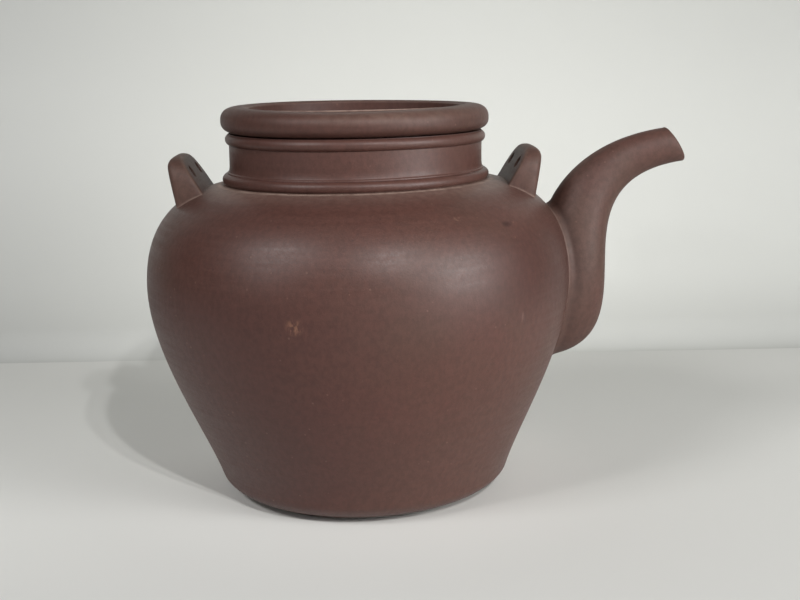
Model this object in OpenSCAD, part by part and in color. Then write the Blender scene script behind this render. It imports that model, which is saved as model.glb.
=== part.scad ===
// Large unglazed stoneware teapot with a sunken lift-off lid, a bent spout
// and two pierced shoulder lugs for a pair of bail handles.
// It stands on Z = 0 about the Z axis, and its spout points along +X.

/* [Body] */
// Greatest width of the body
belly_d = 200; // [184:1:216]
// Height of the greatest width, where the two halves of the body are luted
belly_h = 100.6; // [95:0.2:106]
// Reach of the curve under the belly before it turns in
belly_fall = 31; // [22:1:40]
// Reach of the curve over the belly before it turns in
belly_rise = 26; // [20:1:30]
// Width of the foot where its round edge meets the wall
foot_d = 139.8; // [132:0.2:150]
// Height of the foot's oval edge
foot_round = 12; // [10:0.5:16]
// Reach of the foot's oval edge in under the pot
foot_turn = 21; // [14:0.5:28]
// Lean of the wall at the foot, from upright
foot_lean = 17.6; // [12:0.2:24]
// Reach of the lean at the foot before the wall swells
foot_run = 22.5; // [12:0.5:34]
// Thickness of the base disc
base_t = 8; // [6:0.5:10]
// Height of the shoulder where the neck stands on it
shoulder_h = 147.4; // [143:0.2:152]
// Fall of the shoulder beside the neck, from level
shoulder_fall = 8.6; // [4:0.2:14]
// Reach of that fall before the shoulder turns down
shoulder_run = 26; // [16:1:32]
// Thickness of the body wall
wall = 6; // [4:0.5:7]

/* [Neck] */
// Width of the neck band under the mouth
neck_d = 118.2; // [113:0.2:123]
// Height of the neck from the shoulder to the mouth
neck_h = 22.8; // [19:0.2:27]
// Thickness of the neck band
neck_wall = 4.5; // [3.5:0.1:6]
// Widening of the neck band at its foot, on each side
neck_flare = 0.7; // [0:0.1:1.4]
// Radius of the bead round the neck's foot
foot_bead_r = 2.6; // [1.8:0.1:3]
// Overhang of that bead past the neck band
foot_bead_out = 3.4; // [2.4:0.1:4]
// Reach of the hollow curve by which the neck band spreads over that bead
neck_cove = 1.2; // [0.8:0.1:2]
// Height of that hollow curve
cove_h = 4; // [3:0.5:8]
// Radius of the fine line above that bead
line_r = 0.4; // [0.3:0.05:0.8]
// Radius of the bead round the mouth
mouth_bead_r = 2.7; // [2:0.05:3]
// Overhang of the mouth bead past the neck band
mouth_bead_out = 1.7; // [1:0.1:2.4]

/* [Lid] */
// Width of the rolled rim
rim_d = 125; // [119:0.1:131]
// Height of the rolled rim
rim_h = 11.4; // [10:0.2:14]
// Breadth of the rim, from its outside in to the recess
rim_breadth = 12.6; // [11:0.05:14]
// Share of the rim's breadth that its oval roll takes
roll_share = 0.64; // [0.5:0.01:0.75]
// Rise of the thin lip round the rim's inner edge
rim_lip = 0.6; // [0.2:0.1:1]
// Thickness of that lip
lip_w = 1; // [0.6:0.1:1.6]
// Thickness of the flange that drops into the neck
flange_wall = 4.1; // [3:0.1:5]
// Play between the flange and the neck, on each side
lid_play = 0.6; // [0.4:0.1:1]
// Gap under the rim where it rests on the mouth
seat_gap = 0.2; // [0.1:0.05:0.4]
// Depth of the sunken floor below the rim's crest
dish_depth = 17.8; // [16:0.2:22]
// Thickness of the sunken floor
floor_t = 5; // [3.5:0.5:6]
// Width of the vent hole in the floor
vent_d = 3; // [2:0.5:4]
// Distance of the vent hole from the axis
vent_r = 24; // [18:1:36]
// Width of the knob
knob_d = 23; // [18:0.5:30]
// Depth of the knob's top below the rim's crest
knob_sink = 5; // [4:0.5:7]
// Radius of the knob's round edge
knob_round = 3.6; // [2.5:0.1:4]

/* [Spout] */
// Drop of the root's lowest point below the greatest width of the body
root_fall = 41.8; // [36:0.2:46]
// Drop of the root's highest point below the foot of the neck
root_drop = 15.6; // [12:0.2:20]
// Width of the root across the body
root_w = 40; // [32:1:46]
// Reach of the spout's tip past the greatest width of the body
spout_reach = 50.8; // [44:0.2:58]
// Drop of the middle of the tip below the mouth
tip_drop = 10.6; // [4:0.2:18]
// Length of the slanting tip
tip_len = 18.4; // [15:0.1:21]
// Width of the tip
tip_w = 16.4; // [13:0.1:19]
// Slant of the tip, from upright
tip_slant = 31.2; // [20:0.2:40]
// Rise of the spout at its tip, from level
tip_rise = 7; // [0:1:16]
// Thickness of the spout wall at the root
root_wall = 5; // [4:0.5:6]
// Thickness of the spout wall at the tip
tip_wall = 2.8; // [2:0.1:3.6]
// Width of each strainer hole behind the spout
strainer_d = 5; // [3:0.5:6]
// Distance between strainer holes
strainer_pitch = 8.4; // [7:0.2:10]
// Drop of the middle strainer hole below the greatest width of the body
strainer_drop = 15.6; // [13:0.2:20]

/* [Lugs] */
// Length of each lug round the shoulder
lug_len = 46; // [36:1:54]
// Rise of the top of each lug above the foot of the neck
lug_rise = 14.2; // [11:0.1:17]
// Distance of the lug's round top in from the greatest width of the body
lug_inset = 18; // [15:0.2:21]
// Radius of the lug's round top
lug_round = 3.8; // [3:0.1:5]
// Radius of the lug's outer corners, seen from above
lug_corner = 7; // [4:0.5:9]
// Lean of the lug's inner face, from upright
lug_lean_in = 31.4; // [24:0.2:36]
// Lean of the lug's outer face, from upright
lug_lean_out = 11.3; // [4:0.1:16]
// Width of each bail hole
hole_d = 5.6; // [4:0.2:7]
// Distance between the two bail holes of one lug
hole_gap = 22; // [16:0.5:26]
// Depth of the bail holes below the top of the lug
hole_drop = 9.6; // [8:0.1:12]

/* [Hidden] */
$fn = 96;
// Steps in each half of the body outline
curve_n = 22;
// Steps in the oval edge of the foot
foot_n = 10;
// Sides of the spout's skin, and rings from its root to its tip
spout_sides = 36;
spout_rings = 24;
// Arcs in the round lip of the spout's tip
lip_n = 4;
// Clay joint between the spout's root and the body
lute = 0.05;
// Handles of the spout's strands as [length, angle], under and over
root_hand_low = [57.7, 7.5];
root_hand_high = [1, 60];
tip_hand_low = 70.5;
tip_hand_high = 44.5;
// Fullness of the lug's arched outline
arch_power = 3.6;
// Steps in the neck's hollow curve, and in the lid's oval roll
cove_n = 6;
roll_n = 24;
// Depth by which a lug's outline starts inside the shoulder
lug_bed = 22.3;
// Small overlap that lets a cutter run clear of a face
cut = 1;

belly_r = belly_d / 2;
foot_r = foot_d / 2;
neck_r = neck_d / 2;
neck_foot_r = neck_r + neck_flare;
neck_in_r = neck_r - neck_wall;
mouth_h = shoulder_h + neck_h;
foot_bead_edge = neck_r + foot_bead_out;
bead_bed = foot_bead_r * 0.15;
bead_top = shoulder_h + 2 * foot_bead_r - bead_bed;
foot_end = -atan(foot_round / foot_turn * tan(foot_lean));
foot_h = foot_round * (1 + sin(foot_end));
foot_flat_r = foot_r - foot_turn * cos(foot_end);
seat_h = mouth_h + seat_gap;
crest_h = seat_h + rim_h;
rim_r = rim_d / 2;
flange_r = neck_in_r - lid_play;
recess_r = flange_r - flange_wall;
rim_in_r = min(recess_r, rim_r - rim_breadth);
roll_w = roll_share * (rim_r - rim_in_r);
floor_top = crest_h - dish_depth;
knob_r = knob_d / 2;
knob_h = dish_depth - knob_sink;
root_low = belly_h - root_fall;
root_high = shoulder_h - root_drop;
tip_x = belly_r + spout_reach;
tip_z = mouth_h - tip_drop;
strainer_h = belly_h - strainer_drop;
lug_top = shoulder_h + lug_rise;
lug_x = belly_r - lug_inset;
hole_tilt = (lug_lean_in + lug_lean_out) / 2;

// A value part way from a to b
function mix(a, b, t) = a + (b - a) * t;

// A point of a cubic curve, its direction, and a point set in from it by d
function curve(p, t) =
    pow(1 - t, 3) * p[0] + 3 * pow(1 - t, 2) * t * p[1] + 3 * (1 - t) * t * t * p[2] + pow(t, 3) * p[3];
function heading(p, t) =
    pow(1 - t, 2) * (p[1] - p[0]) + 2 * (1 - t) * t * (p[2] - p[1]) + t * t * (p[3] - p[2]);
function set_in(p, t, d) =
    let(v = heading(p, t) / norm(heading(p, t)))
    curve(p, t) + d * [-v[1], v[0]];

// Points along a cubic curve, set in by d, upwards
function run_up(p, d) = [for (i = [0:curve_n]) set_in(p, i / curve_n, d)];
function run_down(p, d) = [for (i = [curve_n:-1:0]) set_in(p, i / curve_n, d)];

// Outline curves of the body, as [radius, height]
lower_curve = [
    [foot_r, foot_h],
    [foot_r + foot_run * sin(foot_lean), foot_h + foot_run * cos(foot_lean)],
    [belly_r, belly_h - belly_fall],
    [belly_r, belly_h]
];
upper_curve = [
    [belly_r, belly_h],
    [belly_r, belly_h + belly_rise],
    [foot_bead_edge + shoulder_run * cos(shoulder_fall), shoulder_h - shoulder_run * sin(shoulder_fall)],
    [foot_bead_edge, shoulder_h]
];

// Outside of the lower half: the oval edge of the foot, then the wall
foot_arc = [for (i = [0:foot_n - 1])
    let(a = mix(-90, foot_end, i / foot_n))
    [foot_flat_r + foot_turn * cos(a), foot_round * (1 + sin(a))]];
lower_outside = concat(foot_arc, run_up(lower_curve, 0));

// Radius of the body's outside at a height
outside = [for (p = concat(lower_outside, run_up(upper_curve, 0))) [p[1], p[0]]];
function body_r(z) = lookup(z, outside);

// The lower half of the body filled in
module lower_fill() {
    polygon(concat([[0, 0]], lower_outside, [[0, belly_h]]));
}

// The flat clay disc under the body
module base_disc() {
    color("saddlebrown")
    rotate_extrude()
    intersection() {
        lower_fill();
        square([belly_r, base_t]);
    }
}

// The lower half of the body wall, standing on the base disc
module lower_wall() {
    slope = foot_h * tan(foot_lean);
    inner_foot = [foot_r - wall / cos(foot_lean) - slope, 0];
    rotate_extrude()
    difference() {
        lower_fill();
        square([belly_r, base_t]);
        polygon(concat([[0, 0], inner_foot], run_up(lower_curve, wall), [[0, belly_h]]));
    }
}

// One hole in the middle and six round it
module strainer_holes() {
    ring = [for (a = [0:60:300]) strainer_pitch * [cos(a), sin(a)]];
    for (p = concat([[0, 0]], ring))
        translate([belly_r - 4 * wall, p[0], strainer_h + p[1]])
        rotate([0, 90, 0])
        cylinder(d = strainer_d, h = 6 * wall, $fn = 32);
}

module lower_body() {
    color("sienna")
    difference() {
        lower_wall();
        strainer_holes();
    }
}

// The shoulder, from the belly to the opening under the neck
module upper_body() {
    opening = [
        [neck_in_r, shoulder_h],
        [neck_in_r, shoulder_h - wall]
    ];
    color("peru")
    rotate_extrude()
    polygon(concat(run_up(upper_curve, 0), opening, run_down(upper_curve, wall)));
}

// The neck band, spread over its foot bead by a hollow curve with one fine line
module neck_collar() {
    lead = 0.8;
    cove = [for (i = [0:cove_n])
        let(a = 90 * i / cove_n)
        [neck_r + neck_cove * (1 - sin(a)), bead_top + cove_h * (1 - cos(a))]];
    foot = [
        [neck_in_r, shoulder_h],
        [neck_foot_r, shoulder_h],
        [neck_foot_r, bead_top]
    ];
    mouth = [
        [neck_r, mouth_h],
        [neck_in_r + lead, mouth_h],
        [neck_in_r, mouth_h - lead]
    ];
    color("tan")
    rotate_extrude()
    union() {
        polygon(concat(foot, cove, mouth));
        translate([neck_r + neck_cove / 2, bead_top + line_r])
        circle(r = line_r);
    }
}

// A bead of clay luted to the neck, whose wall and shoulder bound it
module bead(bead_r, edge_r, centre_h, inner_r, low_h) {
    rotate_extrude()
    intersection() {
        translate([edge_r - bead_r, centre_h])
        circle(r = bead_r);
        translate([inner_r, low_h])
        square([2 * bead_r, 2 * bead_r]);
    }
}

module neck_foot_bead() {
    color("burlywood")
    bead(foot_bead_r, foot_bead_edge, bead_top - foot_bead_r, neck_foot_r, shoulder_h);
}

module mouth_bead() {
    color("burlywood")
    bead(mouth_bead_r, neck_r + mouth_bead_out, mouth_h - mouth_bead_r, neck_r, mouth_h - 2 * mouth_bead_r);
}

// Point of the spout's root oval on the body, at an angle from its top
function root_point(a) =
    bedded(root_w / 2 * sin(a), mix(root_low, root_high, (1 + cos(a)) / 2));

// Point on the body's outside at a distance across and a height
function bedded(y, z) = [sqrt(pow(body_r(z) + lute, 2) - y * y), y, z];

// Point of the tip's slanting oval, set in by d and pushed out by e
function tip_point(a, d, e) =
    let(up = (tip_len / 2 - d) * cos(a))
    [
        tip_x - up * sin(tip_slant) + e * cos(tip_slant),
        (tip_w / 2 - d) * sin(a),
        tip_z + up * cos(tip_slant) + e * sin(tip_slant)
    ];

// Point of one strand of the spout's outer skin: a curve from root to tip
function strand(a, t) =
    let(w = (1 + cos(a)) / 2)
    let(root_hand = mix(root_hand_low, root_hand_high, w))
    let(tip_hand = mix(tip_hand_low, tip_hand_high, w))
    let(p = root_point(a))
    let(q = tip_point(a, 0, 0))
    curve([
        p,
        p + root_hand[0] * [cos(root_hand[1]), 0, sin(root_hand[1])],
        q - tip_hand * [cos(tip_rise), 0, sin(tip_rise)],
        q
    ], t);

// Point of the inner skin, one wall inside the outer skin, square to it
function inner_point(a, t) =
    let(across = strand(a + 1, t) - strand(a - 1, t))
    let(along = strand(a, min(1, t + 0.01)) - strand(a, max(0, t - 0.01)))
    let(out = cross(along, across))
    strand(a, t) - mix(root_wall, tip_wall, t) * out / norm(out);

// One strand of the inner skin, from the body to the tip
function inner_strand(a, t) =
    let(p = inner_point(a, t))
    t == 0 ? bedded(p[1], p[2]) : t == 1 ? tip_point(a, tip_wall, 0) : p;

// The spout: an outer skin, a round lip and an inner skin back to the root
module spout() {
    angles = [for (i = [0:spout_sides - 1]) 360 * i / spout_sides];
    outer = [for (i = [0:spout_rings]) [for (a = angles) strand(a, i / spout_rings)]];
    lip = [for (i = [1:lip_n - 1])
        let(b = 180 * i / lip_n)
        [for (a = angles) tip_point(a, tip_wall / 2 * (1 - cos(b)), tip_wall / 2 * sin(b))]];
    inner = [for (i = [spout_rings:-1:0]) [for (a = angles) inner_strand(a, i / spout_rings)]];
    rings = concat(outer, lip, inner);
    points = [for (ring = rings) each ring];
    count = len(rings);
    faces = [for (i = [0:count - 1], j = [0:spout_sides - 1])
        let(i2 = (i + 1) % count)
        let(j2 = (j + 1) % spout_sides)
        let(p = i * spout_sides)
        let(q = i2 * spout_sides)
        each [[p + j, p + j2, q + j2], [p + j, q + j2, q + j]]];
    color("chocolate")
    polyhedron(points = points, faces = faces);
}

// Side outline of a lug: two leaning faces under a round top
module lug_section() {
    centre = [lug_x, lug_top - lug_round];
    turn = 180 - lug_lean_in + lug_lean_out;
    steps = 16;
    arc = [for (i = [0:steps])
        let(a = -lug_lean_out + turn * i / steps)
        centre + lug_round * [cos(a), sin(a)]];
    depth = 2 * lug_bed;
    foot_out = arc[0] - depth * [sin(lug_lean_out), cos(lug_lean_out)];
    foot_in = arc[steps] - depth * [sin(lug_lean_in), cos(lug_lean_in)];
    polygon(concat([foot_out], arc, [foot_in]));
}

// Face outline of a lug: a full arch
module lug_arch() {
    steps = 40;
    arch = [for (i = [0:steps])
        let(a = 180 * i / steps)
        [
            lug_len / 2 * sign(cos(a)) * pow(abs(cos(a)), 2 / arch_power),
            lug_top - lug_bed + lug_bed * pow(sin(a), 2 / arch_power)
        ]];
    polygon(concat(arch, [[-lug_len / 2, lug_top - 2 * lug_bed], [lug_len / 2, lug_top - 2 * lug_bed]]));
}

// Outline of a lug from above: its outer corners are round
module lug_plan() {
    steps = 8;
    edge_x = lug_x + lug_round - lug_corner;
    edge_y = lug_len / 2 - lug_corner;
    corner = [for (i = [0:steps])
        let(a = 90 * i / steps)
        [edge_x, edge_y] + lug_corner * [cos(a), sin(a)]];
    other = [for (i = [steps:-1:0]) [corner[i][0], -corner[i][1]]];
    polygon(concat(corner, [[lug_x - lug_len, lug_len / 2], [lug_x - lug_len, -lug_len / 2]], other));
}

// The body filled in, to bed the lugs on
module body_core() {
    rotate_extrude()
    polygon(concat([[0, 0]], lower_outside, run_up(upper_curve, 0), [[0, shoulder_h]]));
}

module lug() {
    face_x = lug_x + lug_round * tan(lug_lean_in - 45);
    difference() {
        intersection() {
            rotate([90, 0, 0])
            linear_extrude(height = 2 * lug_len, center = true)
            lug_section();
            rotate([90, 0, 90])
            linear_extrude(height = 2 * lug_x)
            lug_arch();
            translate([0, 0, lug_top - 2 * lug_bed])
            linear_extrude(height = 3 * lug_bed)
            lug_plan();
        }
        body_core();
        for (side = [-1, 1])
            translate([face_x, side * hole_gap / 2, lug_top - hole_drop])
            rotate([0, 90 + hole_tilt, 0])
            cylinder(d = hole_d, h = 2 * lug_bed, center = true);
    }
}

module spout_lug() {
    color("olivedrab")
    lug();
}

module rear_lug() {
    color("darkolivegreen")
    mirror([1, 0, 0])
    lug();
}

// The lid's rolled rim, oval outside and flat on top, with a thin lip at its inner edge
module lid_rim() {
    roll_h = rim_h - rim_lip;
    roll = [for (i = [0:roll_n])
        let(a = mix(-90, 90, i / roll_n))
        [rim_r - roll_w + roll_w * cos(a), seat_h + roll_h / 2 * (1 + sin(a))]];
    lip = [
        [rim_in_r + lip_w + rim_lip, seat_h + roll_h],
        [rim_in_r + lip_w, crest_h],
        [rim_in_r, crest_h]
    ];
    color("steelblue")
    rotate_extrude()
    polygon(concat([[rim_in_r, seat_h]], roll, lip));
}

// The lid's upright wall between its rim and its floor
module lid_flange() {
    color("cadetblue")
    rotate_extrude()
    translate([recess_r, floor_top])
    square([flange_wall, seat_h - floor_top]);
}

// The sunken floor, with its vent hole
module lid_floor() {
    lead = 1.2;
    color("lightsteelblue")
    difference() {
        rotate_extrude()
        polygon([
            [0, floor_top - floor_t],
            [flange_r - lead, floor_top - floor_t],
            [flange_r, floor_top - floor_t + lead],
            [flange_r, floor_top],
            [0, floor_top]
        ]);
        translate([0, vent_r, floor_top - floor_t - cut])
        cylinder(d = vent_d, h = floor_t + 2 * cut, $fn = 32);
    }
}

// A low button knob on a tapered stem
module lid_knob() {
    head_r = knob_r - knob_round;
    stem_h = knob_h - 2 * knob_round;
    color("slategray")
    translate([0, 0, floor_top])
    rotate_extrude()
    union() {
        polygon([
            [0, 0],
            [head_r, 0],
            [head_r - stem_h / 4, stem_h],
            [head_r, knob_h],
            [0, knob_h]
        ]);
        translate([head_r, knob_h - knob_round])
        circle(r = knob_round);
    }
}

base_disc();
lower_body();
upper_body();
neck_collar();
neck_foot_bead();
mouth_bead();
spout();
spout_lug();
rear_lug();
lid_rim();
lid_flange();
lid_floor();
lid_knob();
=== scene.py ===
"""Large unglazed stoneware teapot: its clay surfaces, small marks and studio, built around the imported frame.

Lengths of the pot are in millimetres until a mesh is made, and MM turns them into metres. The studio and the
patterns of the materials are in metres.
"""

import logging
import math
from bisect import bisect_left
from collections.abc import Callable, Sequence
from dataclasses import dataclass, field
from enum import Enum

import bmesh
import bpy
from mathutils import Matrix, Vector


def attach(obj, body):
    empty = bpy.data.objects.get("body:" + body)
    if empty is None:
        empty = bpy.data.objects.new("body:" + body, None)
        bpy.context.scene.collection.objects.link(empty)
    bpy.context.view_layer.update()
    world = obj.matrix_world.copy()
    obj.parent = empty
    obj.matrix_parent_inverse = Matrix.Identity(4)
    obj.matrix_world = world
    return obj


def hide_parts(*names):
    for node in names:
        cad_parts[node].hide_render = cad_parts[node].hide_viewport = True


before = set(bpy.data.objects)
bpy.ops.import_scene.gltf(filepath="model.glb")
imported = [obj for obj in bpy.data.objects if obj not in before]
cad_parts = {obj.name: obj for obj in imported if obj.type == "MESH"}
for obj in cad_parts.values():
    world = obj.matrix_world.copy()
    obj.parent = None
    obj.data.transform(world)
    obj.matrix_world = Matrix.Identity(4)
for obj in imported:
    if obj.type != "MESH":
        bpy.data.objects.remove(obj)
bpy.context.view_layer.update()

Span = tuple[float, float]
Triple = tuple[float, float, float]
Rgba = tuple[float, float, float, float]
Socket = bpy.types.NodeSocket
Rule = Callable[[float], Vector]

LOG = logging.getLogger("teapot")
MM = 0.001
FULL_TURN = 2.0 * math.pi
MERGE = 1e-6
TINY = 1e-9
# Name of the stored rubbing, dust, painted highlights and painted shade of each piece.
WEAR_AND_LIGHT = "wear_and_painted_light"


class Body(Enum):
    """The two bodies of the frame that pieces ride on."""

    POT = "pot"
    LID = "lid"


class Slot(Enum):
    """The two material slots."""

    POT = "clay_pot"
    LID = "clay_lid"


class End(Enum):
    """The end of the pot that a lug stands at, as a sign along X."""

    SPOUT = 1
    REAR = -1


class Cut(Enum):
    """What a cutter does to a piece: it takes its own shape away, or leaves only what both share."""

    AWAY = "DIFFERENCE"
    SHARED = "INTERSECT"


def linear(red: int, green: int, blue: int) -> Rgba:
    """Turns a colour of the usual 0 to 255 steps into a shader colour.

    Args:
        red: Red step.
        green: Green step.
        blue: Blue step.

    Returns:
        The colour in linear light, opaque.
    """
    steps = [c / 255.0 for c in (red, green, blue)]
    parts = [c / 12.92 if c <= 0.04045 else ((c + 0.055) / 1.055) ** 2.4 for c in steps]
    return (parts[0], parts[1], parts[2], 1.0)


def mix(low: float, high: float, share: float) -> float:
    """Gives the value a share of the way from low to high."""
    return low + (high - low) * share


def fade(distance: float, reach: float) -> float:
    """Falls from 1 at no distance to 0 at the reach, on a soft curve."""
    near = max(0.0, 1.0 - abs(distance) / reach)
    return near * near * (3.0 - 2.0 * near)


def rise_share(value: float, low: float, high: float) -> float:
    """Gives how far a value is from low to high, from 0 to 1."""
    return min(max((value - low) / (high - low), 0.0), 1.0)


@dataclass(frozen=True)
class Curve:
    """A cubic curve between two ends, with a handle for each."""

    start: Vector
    leave: Vector
    arrive: Vector
    end: Vector

    def at(self, t: float) -> Vector:
        """Gives the point a share t along the curve."""
        s = 1.0 - t
        outer = s**3 * self.start + t**3 * self.end
        return outer + 3.0 * s * s * t * self.leave + 3.0 * s * t * t * self.arrive

    def heading(self, t: float) -> Vector:
        """Gives the unit direction of the curve at t."""
        s = 1.0 - t
        ends = s * s * (self.leave - self.start) + t * t * (self.end - self.arrive)
        return (ends + 2.0 * s * t * (self.arrive - self.leave)).normalized()

    def inset(self, t: float, depth: float) -> Vector:
        """Gives the point at t of a plane curve, moved in by a depth."""
        ahead = self.heading(t)
        return self.at(t) + depth * Vector((-ahead.y, ahead.x))

    def run(self, steps: int, depth: float = 0.0) -> list[Vector]:
        """Lists points along a plane curve, moved in by a depth."""
        return [self.inset(i / steps, depth) for i in range(steps + 1)]


def arc(centre: Sequence[float], radius: float, first: float, last: float, steps: int) -> list[Vector]:
    """Lists points of an arc in a plane.

    Args:
        centre: Middle of the arc.
        radius: Its radius.
        first: Angle of its first point, in degrees.
        last: Angle of its last point, in degrees.
        steps: Number of steps from the first point to the last.

    Returns:
        The points, both ends included.
    """
    turns = [math.radians(mix(first, last, i / steps)) for i in range(steps + 1)]
    return [Vector((centre[0] + radius * math.cos(a), centre[1] + radius * math.sin(a))) for a in turns]


def add_object(name: str, mesh: bmesh.types.BMesh) -> bpy.types.Object:
    """Puts a mesh in the scene as an object at the origin.

    Args:
        name: Name of the piece.
        mesh: The mesh, which is freed.

    Returns:
        The new object.
    """
    data = bpy.data.meshes.new(name)
    mesh.to_mesh(data)
    mesh.free()
    piece = bpy.data.objects.new(name, data)
    bpy.context.scene.collection.objects.link(piece)
    return piece


def turned(name: str, outline: Sequence[Vector], steps: int) -> bpy.types.Object:
    """Turns an outline about the upright axis into a solid.

    Args:
        name: Name of the piece.
        outline: Points of radius and height; its two ends meet, or both lie on the axis.
        steps: Number of steps round the axis.

    Returns:
        The new object.
    """
    mesh = bmesh.new()
    points = [mesh.verts.new((p.x * MM, 0.0, p.y * MM)) for p in outline]
    lines = [mesh.edges.new(pair) for pair in zip(points, points[1:])]
    if outline[0].x > 0.0:
        lines.append(mesh.edges.new((points[-1], points[0])))
    bmesh.ops.spin(mesh, geom=points + lines, axis=(0, 0, 1), cent=(0, 0, 0),
                   angle=FULL_TURN, steps=steps, use_merge=True)
    bmesh.ops.remove_doubles(mesh, verts=mesh.verts, dist=MERGE)
    bmesh.ops.recalc_face_normals(mesh, faces=mesh.faces)
    return add_object(name, mesh)


def drawn(name: str, outline: Sequence[Vector], way: Vector) -> bpy.types.Object:
    """Draws a flat outline out into a solid.

    Args:
        name: Name of the solid.
        outline: Its corner points.
        way: How far and where it is drawn.

    Returns:
        The new object.
    """
    mesh = bmesh.new()
    face = mesh.faces.new([mesh.verts.new(p * MM) for p in outline])
    grown = bmesh.ops.extrude_face_region(mesh, geom=[face])["geom"]
    moved = [g for g in grown if isinstance(g, bmesh.types.BMVert)]
    bmesh.ops.translate(mesh, verts=moved, vec=way * MM)
    bmesh.ops.recalc_face_normals(mesh, faces=mesh.faces)
    return add_object(name, mesh)


def rods(name: str, places: Sequence[Vector], radius: float, length: float, turn: Matrix,
         sides: int) -> bpy.types.Object:
    """Makes round rods that pierce a piece.

    Args:
        name: Name of the cutter.
        places: The middle of each rod.
        radius: Radius of a rod.
        length: Length of a rod.
        turn: How a rod is turned from upright.
        sides: Number of sides of a rod.

    Returns:
        All the rods as one object.
    """
    mesh = bmesh.new()
    for place in places:
        bmesh.ops.create_cone(mesh, cap_ends=True, segments=sides, radius1=radius * MM, radius2=radius * MM,
                              depth=length * MM, matrix=Matrix.Translation(place * MM) @ turn)
    return add_object(name, mesh)


def settle(piece: bpy.types.Object) -> None:
    """Applies a piece's modifiers to its mesh."""
    graph = bpy.context.evaluated_depsgraph_get()
    shaped = bpy.data.meshes.new_from_object(piece.evaluated_get(graph))
    before = piece.data
    piece.modifiers.clear()
    piece.data = shaped
    bpy.data.meshes.remove(before)
    shaped.name = piece.name


def carve(piece: bpy.types.Object, cutter: bpy.types.Object, cut: Cut, keep: bool = False) -> None:
    """Cuts a piece with another solid.

    Args:
        piece: The piece that is cut.
        cutter: The solid that cuts it.
        cut: What the cutter does.
        keep: Whether the cutter stays for later cuts.
    """
    knife = piece.modifiers.new("cut", "BOOLEAN")
    knife.operation = cut.value
    knife.solver = "EXACT"
    knife.object = cutter
    settle(piece)
    if not keep:
        bpy.data.objects.remove(cutter)


@dataclass(frozen=True)
class Lean:
    """How a hand-set neck and lid sit a little off true.

    They fall per length to the spout and to the front, the fall to the spout grows by the twist with each
    millimetre to the back, and they sit off the axis by the shift.
    """

    to_spout: float
    to_front: float
    twist: float
    shift: float

    def apply(self, piece: bpy.types.Object, low: float, high: float) -> None:
        """Leans a piece, not at all at a low height and fully at a high one.

        Args:
            piece: The piece, its mesh in place.
            low: Height at which the lean starts, in millimetres.
            high: Height at which it is full.
        """
        for vert in piece.data.vertices:
            slope = self.to_spout + self.twist * vert.co.y / MM
            fall = Vector((self.shift * MM, 0.0, self.to_front * vert.co.y - slope * vert.co.x))
            vert.co += rise_share(vert.co.z / MM, low, high) * fall


LEAN = Lean(to_spout=0.0122, to_front=0.004, twist=0.0001, shift=0.4)


def soften(piece: bpy.types.Object, crease: float) -> None:
    """Shades a piece smooth, with creases where its faces meet at more than an angle in degrees."""
    piece.data.shade_smooth()
    piece.data.set_sharp_from_angle(angle=math.radians(crease))


def paint_wear_and_light(piece: bpy.types.Object, rule: Callable[[Vector], float]) -> None:
    """Stores how rubbed and dusty each point of a piece is, and the painted highlights and painted shade on
    it.

    Args:
        piece: The piece, its mesh finished.
        rule: Gives the value at a point in millimetres: to 1 where it is pale with rubbing, dust and painted
            highlights, to -1 where it is painted shade.
    """
    layer = piece.data.attributes.new(WEAR_AND_LIGHT, "FLOAT", "POINT")
    layer.data.foreach_set("value", [rule(v.co / MM) for v in piece.data.vertices])


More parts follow.
